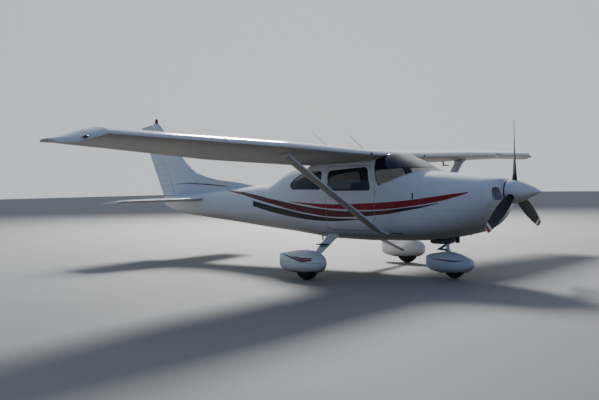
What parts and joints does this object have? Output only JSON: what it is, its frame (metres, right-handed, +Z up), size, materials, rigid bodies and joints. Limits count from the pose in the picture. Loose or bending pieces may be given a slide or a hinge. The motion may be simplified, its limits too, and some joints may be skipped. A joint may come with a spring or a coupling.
{
  "type": "light aircraft",
  "caption": "High-wing light aircraft with strut-braced wings, fixed tricycle gear in wheel fairings, opening doors and moving control surfaces",
  "frame": {"origin": "on the ground, under the middle of the box around the whole aircraft", "axes": "+X forward to the nose, +Y to the left wing tip, +Z up"},
  "size_m": [8.84, 10.972, 2.84],
  "materials": {
    "paint": "gloss white",
    "glass": "clear acrylic",
    "upholstery": "grey cloth",
    "black_trim": "matt",
    "engine_iron": "cast",
    "tyre": "black rubber",
    "alloy": "satin",
    "steel": "polished",
    "blade_black": "satin black",
    "beacon_red": "red lens"
  },
  "bodies": {
    "airframe": {"cabin": "paint", "windscreen": "glass", "rear_window": "glass", "side_window_left": "glass", "side_window_right": "glass", "seat_front_left": "upholstery", "seat_front_right": "upholstery", "seat_rear": "upholstery", "instrument_panel": "black_trim", "cowl_upper": "paint", "cowl_lower": "paint", "nose_bowl": "paint", "engine": "engine_iron", "wing_centre": "paint", "tailcone": "paint", "tailplane": "paint", "fin": "paint", "beacon": "beacon_red", "nose_leg_upper": "steel", "wing_left": "paint", "wing_right": "paint", "wing_tip_left": "paint", "wing_tip_right": "paint", "wing_strut_left": "paint", "wing_strut_right": "paint", "gear_leg_left": "paint", "gear_leg_right": "paint", "wheel_fairing_left": "paint", "wheel_fairing_right": "paint"},
    "propeller": {"spinner": "paint", "propeller_hub": "alloy", "blade_1": "blade_black", "blade_2": "blade_black", "blade_3": "blade_black"},
    "nose_gear": {"nose_fork": "steel", "nose_fairing": "paint"},
    "nose_roller": {"nose_tyre": "tyre", "nose_wheel": "alloy"},
    "main_roller_left": {"main_tyre_left": "tyre", "main_wheel_left": "alloy"},
    "main_roller_right": {"main_tyre_right": "tyre", "main_wheel_right": "alloy"},
    "left_door": {"door_left": "paint", "door_window_left": "glass"},
    "right_door": {"door_right": "paint", "door_window_right": "glass"},
    "luggage_door": {"baggage_door": "paint"},
    "left_flap": {"flap_left": "paint"},
    "right_flap": {"flap_right": "paint"},
    "left_aileron": {"aileron_left": "paint"},
    "right_aileron": {"aileron_right": "paint"},
    "elevators": {"elevator": "paint"},
    "rudder_body": {"rudder": "paint"}
  },
  "joints": [
    {"name": "propeller_spin", "type": "hinge", "parent": "airframe", "child": "propeller", "pos_m": [4.033, 0, 1.278], "axis": [1, 0, 0], "continuous": true},
    {"name": "nose_steering", "type": "hinge", "parent": "airframe", "child": "nose_gear", "pos_m": [2.999, 0, 0.361], "axis": [-0.1799, 0, 0.9837], "range_deg": [-29, 29]},
    {"name": "nose_wheel_spin", "type": "hinge", "parent": "nose_gear", "child": "nose_roller", "pos_m": [3.087, 0, 0.172], "axis": [0, 1, 0], "continuous": true},
    {"name": "main_wheel_spin_left", "type": "hinge", "parent": "airframe", "child": "main_roller_left", "pos_m": [1.395, 1.38, 0.21], "axis": [0, 1, 0], "continuous": true},
    {"name": "main_wheel_spin_right", "type": "hinge", "parent": "airframe", "child": "main_roller_right", "pos_m": [1.395, -1.38, 0.21], "axis": [0, 1, 0], "continuous": true},
    {"name": "door_swing_left", "type": "hinge", "parent": "airframe", "child": "left_door", "pos_m": [2.062, 0.572, 1.1], "axis": [0, 0, -1], "range_deg": [0, 70]},
    {"name": "door_swing_right", "type": "hinge", "parent": "airframe", "child": "right_door", "pos_m": [2.062, -0.572, 1.1], "axis": [0, 0, 1], "range_deg": [0, 70]},
    {"name": "baggage_door_swing", "type": "hinge", "parent": "airframe", "child": "luggage_door", "pos_m": [0.768, 0.55, 0.965], "axis": [0, 0, -1], "range_deg": [0, 90]},
    {"name": "flap_turn_left", "type": "hinge", "parent": "airframe", "child": "left_flap", "pos_m": [0.97928, 0.608, 1.79098], "axis": [0, -0.9995, -0.0317], "range_deg": [0, 38]},
    {"name": "flap_turn_right", "type": "hinge", "parent": "airframe", "child": "right_flap", "pos_m": [0.97928, -0.608, 1.79098], "axis": [0, -0.9995, 0.0317], "range_deg": [0, 38]},
    {"name": "aileron_turn_left", "type": "hinge", "parent": "airframe", "child": "left_aileron", "pos_m": [0.89917, 2.562, 1.84397], "axis": [-0.0987, -0.9942, -0.0429], "range_deg": [-17, 17]},
    {"name": "aileron_turn_right", "type": "hinge", "parent": "airframe", "child": "right_aileron", "pos_m": [0.89917, -2.562, 1.84397], "axis": [0.0987, -0.9942, 0.0429], "range_deg": [-17, 17]},
    {"name": "elevator_turn", "type": "hinge", "parent": "airframe", "child": "elevators", "pos_m": [-3.02, 0, 1.128], "axis": [0, -1, 0], "range_deg": [-26, 17]},
    {"name": "rudder_turn", "type": "hinge", "parent": "airframe", "child": "rudder_body", "pos_m": [-3.318, 0, 1.232], "axis": [-0.4385, 0, 0.8987], "range_deg": [-24, 24]}
  ],
  "couplings": [
    {"joint": "flap_turn_right", "follows": "flap_turn_left", "ratio": 1},
    {"joint": "aileron_turn_right", "follows": "aileron_turn_left", "ratio": -1}
  ]
}
